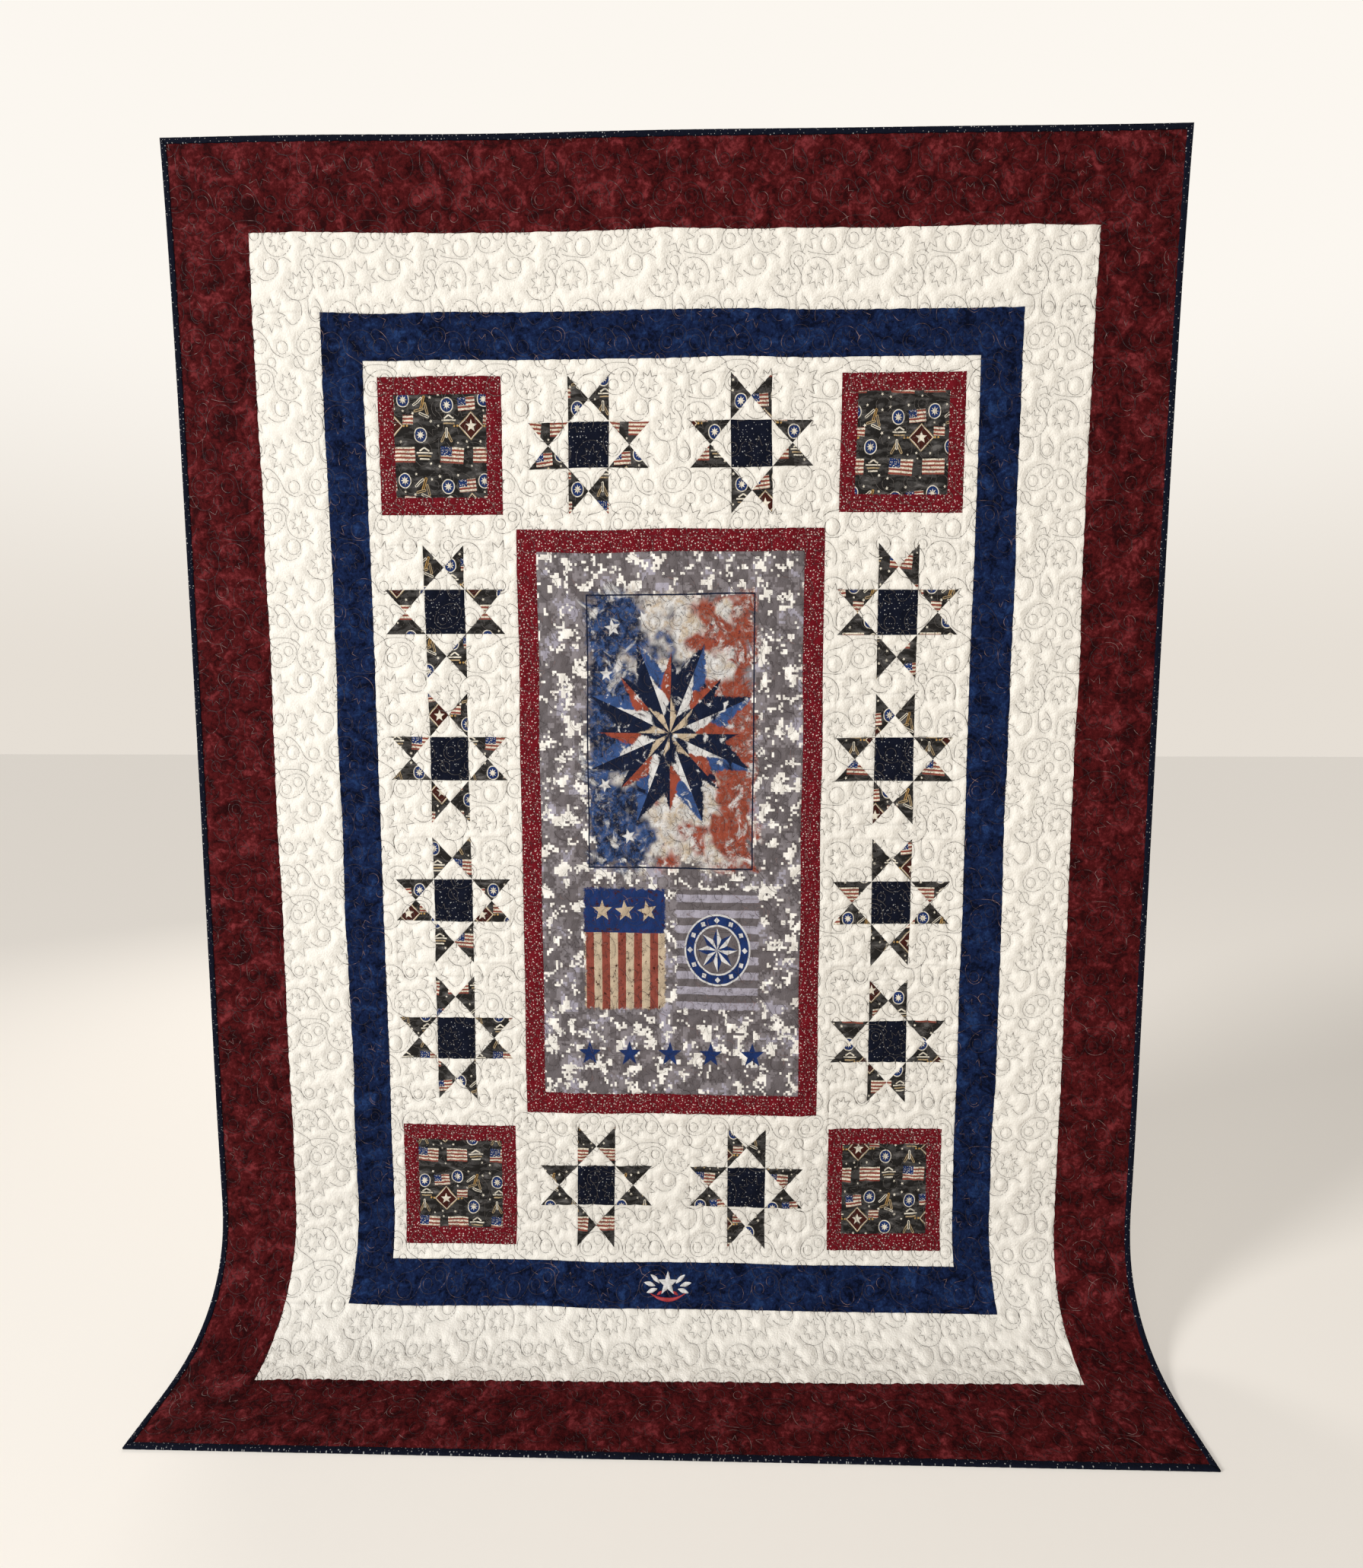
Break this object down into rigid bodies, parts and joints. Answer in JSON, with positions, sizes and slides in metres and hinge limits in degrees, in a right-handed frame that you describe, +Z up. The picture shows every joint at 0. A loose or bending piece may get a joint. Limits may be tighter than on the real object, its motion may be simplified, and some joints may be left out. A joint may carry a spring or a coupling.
{
  "type": "star quilt blanket, hanging",
  "caption": "Machine-quilted bed quilt hung by its top edge, its lower end turned forward onto the floor, with a folded binding round the edge.",
  "frame": {"origin": "middle of the quilt's top edge, in the middle of its thickness", "axes": "+Z up along the hanging cloth, front towards -Y, +X to the right seen from the front"},
  "size_m": [1.87, 0.3705, 2.297],
  "materials": {
    "quilted_cloth": "matt woven cotton, quilted",
    "binding_cloth": "matt woven cotton, black navy with small white specks",
    "burgundy_cloth": "matt woven cotton, marbled wine red",
    "navy_cloth": "matt woven cotton, mottled navy",
    "red_speck_cloth": "matt woven cotton, red with small white specks",
    "print_cloth": "matt woven cotton, small print on charcoal",
    "panel_cloth": "matt woven cotton, blocky grey and cream",
    "quilting_thread": "polyester thread, slight sheen"
  },
  "bodies": {
    "root": {"quilted_body": "quilted_cloth", "binding_top": "binding_cloth", "binding_bottom": "binding_cloth", "binding_left": "binding_cloth", "binding_right": "binding_cloth"}
  },
  "joints": []
}
